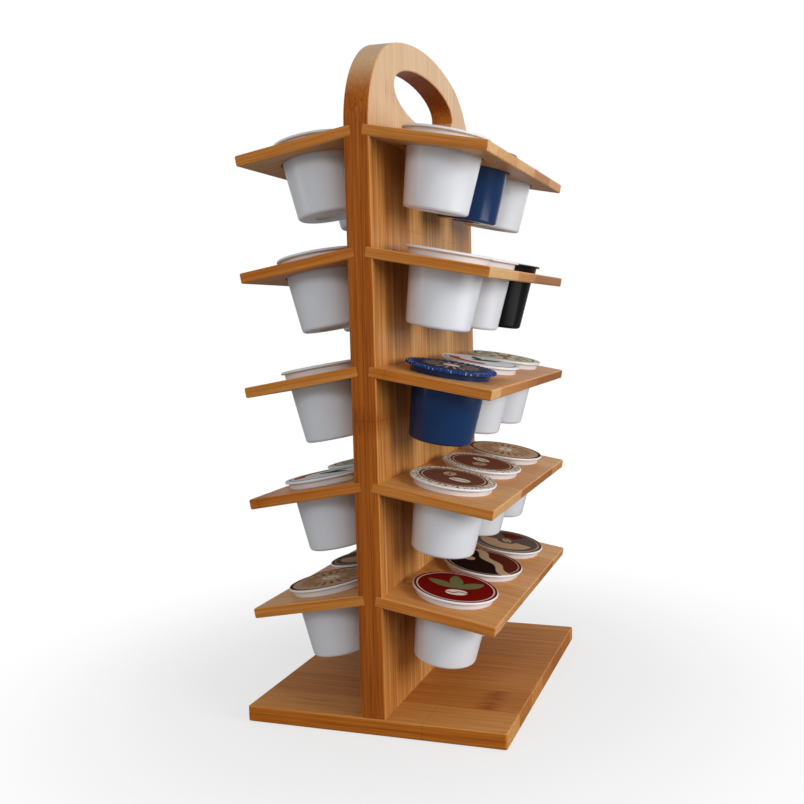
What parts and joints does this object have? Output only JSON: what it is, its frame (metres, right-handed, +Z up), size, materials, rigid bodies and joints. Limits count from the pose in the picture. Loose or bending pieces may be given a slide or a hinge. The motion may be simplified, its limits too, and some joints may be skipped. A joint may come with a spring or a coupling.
{
  "type": "coffee capsule holder",
  "caption": "Free-standing bamboo tower with sloping pierced shelves on both sides of an arched, hand-holed spine, holding single-serve coffee capsules.",
  "frame": {"origin": "middle of the base board's underside, on the surface that the holder stands on", "axes": "+Z up along the spine, +X across to the right-hand shelves, +Y from front to back along the rows of capsules"},
  "size_m": [0.16, 0.182, 0.401],
  "materials": {
    "bamboo": "satin oiled, caramel",
    "screw_steel": "zinc plated",
    "white_cup": "satin moulded",
    "blue_cup": "satin moulded",
    "black_cup": "satin moulded"
  },
  "bodies": {
    "stand": {"base_board": "bamboo", "spine_board": "bamboo", "shelf_right_bottom": "bamboo", "shelf_right_lower": "bamboo", "shelf_right_centre": "bamboo", "shelf_right_upper": "bamboo", "shelf_right_top": "bamboo", "shelf_left_bottom": "bamboo", "shelf_left_lower": "bamboo", "shelf_left_centre": "bamboo", "shelf_left_upper": "bamboo", "shelf_left_top": "bamboo", "base_screws": "screw_steel"},
    "capsule_right_bottom_front": {"capsule_right_bottom_front": "white_cup"},
    "capsule_right_bottom_middle": {"capsule_right_bottom_middle": "white_cup"},
    "capsule_right_bottom_rear": {"capsule_right_bottom_rear": "white_cup"},
    "capsule_right_lower_front": {"capsule_right_lower_front": "white_cup"},
    "capsule_right_lower_middle": {"capsule_right_lower_middle": "white_cup"},
    "capsule_right_lower_rear": {"capsule_right_lower_rear": "white_cup"},
    "capsule_right_centre_front": {"capsule_right_centre_front": "blue_cup"},
    "capsule_right_centre_middle": {"capsule_right_centre_middle": "white_cup"},
    "capsule_right_centre_rear": {"capsule_right_centre_rear": "white_cup"},
    "capsule_right_upper_front": {"capsule_right_upper_front": "white_cup"},
    "capsule_right_upper_middle": {"capsule_right_upper_middle": "white_cup"},
    "capsule_right_upper_rear": {"capsule_right_upper_rear": "black_cup"},
    "capsule_right_top_front": {"capsule_right_top_front": "white_cup"},
    "capsule_right_top_middle": {"capsule_right_top_middle": "blue_cup"},
    "capsule_right_top_rear": {"capsule_right_top_rear": "white_cup"},
    "capsule_left_bottom_front": {"capsule_left_bottom_front": "white_cup"},
    "capsule_left_bottom_middle": {"capsule_left_bottom_middle": "white_cup"},
    "capsule_left_bottom_rear": {"capsule_left_bottom_rear": "white_cup"},
    "capsule_left_lower_front": {"capsule_left_lower_front": "white_cup"},
    "capsule_left_lower_middle": {"capsule_left_lower_middle": "white_cup"},
    "capsule_left_lower_rear": {"capsule_left_lower_rear": "white_cup"},
    "capsule_left_centre_front": {"capsule_left_centre_front": "white_cup"},
    "capsule_left_centre_middle": {"capsule_left_centre_middle": "white_cup"},
    "capsule_left_centre_rear": {"capsule_left_centre_rear": "white_cup"},
    "capsule_left_upper_front": {"capsule_left_upper_front": "white_cup"},
    "capsule_left_upper_middle": {"capsule_left_upper_middle": "white_cup"},
    "capsule_left_upper_rear": {"capsule_left_upper_rear": "white_cup"},
    "capsule_left_top_front": {"capsule_left_top_front": "white_cup"},
    "capsule_left_top_middle": {"capsule_left_top_middle": "white_cup"},
    "capsule_left_top_rear": {"capsule_left_top_rear": "white_cup"}
  },
  "joints": [
    {"name": "lift_right_bottom_front", "type": "slide", "parent": "stand", "child": "capsule_right_bottom_front", "axis": [0.1788, 0, 0.9839], "range_m": [0, 0.018]},
    {"name": "lift_right_bottom_middle", "type": "slide", "parent": "stand", "child": "capsule_right_bottom_middle", "axis": [0.1788, 0, 0.9839], "range_m": [0, 0.018]},
    {"name": "lift_right_bottom_rear", "type": "slide", "parent": "stand", "child": "capsule_right_bottom_rear", "axis": [0.1788, 0, 0.9839], "range_m": [0, 0.018]},
    {"name": "lift_right_lower_front", "type": "slide", "parent": "stand", "child": "capsule_right_lower_front", "axis": [0.1788, 0, 0.9839], "range_m": [0, 0.018]},
    {"name": "lift_right_lower_middle", "type": "slide", "parent": "stand", "child": "capsule_right_lower_middle", "axis": [0.1788, 0, 0.9839], "range_m": [0, 0.018]},
    {"name": "lift_right_lower_rear", "type": "slide", "parent": "stand", "child": "capsule_right_lower_rear", "axis": [0.1788, 0, 0.9839], "range_m": [0, 0.018]},
    {"name": "lift_right_centre_front", "type": "slide", "parent": "stand", "child": "capsule_right_centre_front", "axis": [0.1788, 0, 0.9839], "range_m": [0, 0.018]},
    {"name": "lift_right_centre_middle", "type": "slide", "parent": "stand", "child": "capsule_right_centre_middle", "axis": [0.1788, 0, 0.9839], "range_m": [0, 0.018]},
    {"name": "lift_right_centre_rear", "type": "slide", "parent": "stand", "child": "capsule_right_centre_rear", "axis": [0.1788, 0, 0.9839], "range_m": [0, 0.018]},
    {"name": "lift_right_upper_front", "type": "slide", "parent": "stand", "child": "capsule_right_upper_front", "axis": [0.1788, 0, 0.9839], "range_m": [0, 0.018]},
    {"name": "lift_right_upper_middle", "type": "slide", "parent": "stand", "child": "capsule_right_upper_middle", "axis": [0.1788, 0, 0.9839], "range_m": [0, 0.018]},
    {"name": "lift_right_upper_rear", "type": "slide", "parent": "stand", "child": "capsule_right_upper_rear", "axis": [0.1788, 0, 0.9839], "range_m": [0, 0.018]},
    {"name": "lift_right_top_front", "type": "slide", "parent": "stand", "child": "capsule_right_top_front", "axis": [0.1788, 0, 0.9839], "range_m": [0, 0.05]},
    {"name": "lift_right_top_middle", "type": "slide", "parent": "stand", "child": "capsule_right_top_middle", "axis": [0.1788, 0, 0.9839], "range_m": [0, 0.05]},
    {"name": "lift_right_top_rear", "type": "slide", "parent": "stand", "child": "capsule_right_top_rear", "axis": [0.1788, 0, 0.9839], "range_m": [0, 0.05]},
    {"name": "lift_left_bottom_front", "type": "slide", "parent": "stand", "child": "capsule_left_bottom_front", "axis": [-0.1788, 0, 0.9839], "range_m": [0, 0.018]},
    {"name": "lift_left_bottom_middle", "type": "slide", "parent": "stand", "child": "capsule_left_bottom_middle", "axis": [-0.1788, 0, 0.9839], "range_m": [0, 0.018]},
    {"name": "lift_left_bottom_rear", "type": "slide", "parent": "stand", "child": "capsule_left_bottom_rear", "axis": [-0.1788, 0, 0.9839], "range_m": [0, 0.018]},
    {"name": "lift_left_lower_front", "type": "slide", "parent": "stand", "child": "capsule_left_lower_front", "axis": [-0.1788, 0, 0.9839], "range_m": [0, 0.018]},
    {"name": "lift_left_lower_middle", "type": "slide", "parent": "stand", "child": "capsule_left_lower_middle", "axis": [-0.1788, 0, 0.9839], "range_m": [0, 0.018]},
    {"name": "lift_left_lower_rear", "type": "slide", "parent": "stand", "child": "capsule_left_lower_rear", "axis": [-0.1788, 0, 0.9839], "range_m": [0, 0.018]},
    {"name": "lift_left_centre_front", "type": "slide", "parent": "stand", "child": "capsule_left_centre_front", "axis": [-0.1788, 0, 0.9839], "range_m": [0, 0.018]},
    {"name": "lift_left_centre_middle", "type": "slide", "parent": "stand", "child": "capsule_left_centre_middle", "axis": [-0.1788, 0, 0.9839], "range_m": [0, 0.018]},
    {"name": "lift_left_centre_rear", "type": "slide", "parent": "stand", "child": "capsule_left_centre_rear", "axis": [-0.1788, 0, 0.9839], "range_m": [0, 0.018]},
    {"name": "lift_left_upper_front", "type": "slide", "parent": "stand", "child": "capsule_left_upper_front", "axis": [-0.1788, 0, 0.9839], "range_m": [0, 0.018]},
    {"name": "lift_left_upper_middle", "type": "slide", "parent": "stand", "child": "capsule_left_upper_middle", "axis": [-0.1788, 0, 0.9839], "range_m": [0, 0.018]},
    {"name": "lift_left_upper_rear", "type": "slide", "parent": "stand", "child": "capsule_left_upper_rear", "axis": [-0.1788, 0, 0.9839], "range_m": [0, 0.018]},
    {"name": "lift_left_top_front", "type": "slide", "parent": "stand", "child": "capsule_left_top_front", "axis": [-0.1788, 0, 0.9839], "range_m": [0, 0.05]},
    {"name": "lift_left_top_middle", "type": "slide", "parent": "stand", "child": "capsule_left_top_middle", "axis": [-0.1788, 0, 0.9839], "range_m": [0, 0.05]},
    {"name": "lift_left_top_rear", "type": "slide", "parent": "stand", "child": "capsule_left_top_rear", "axis": [-0.1788, 0, 0.9839], "range_m": [0, 0.05]}
  ]
}
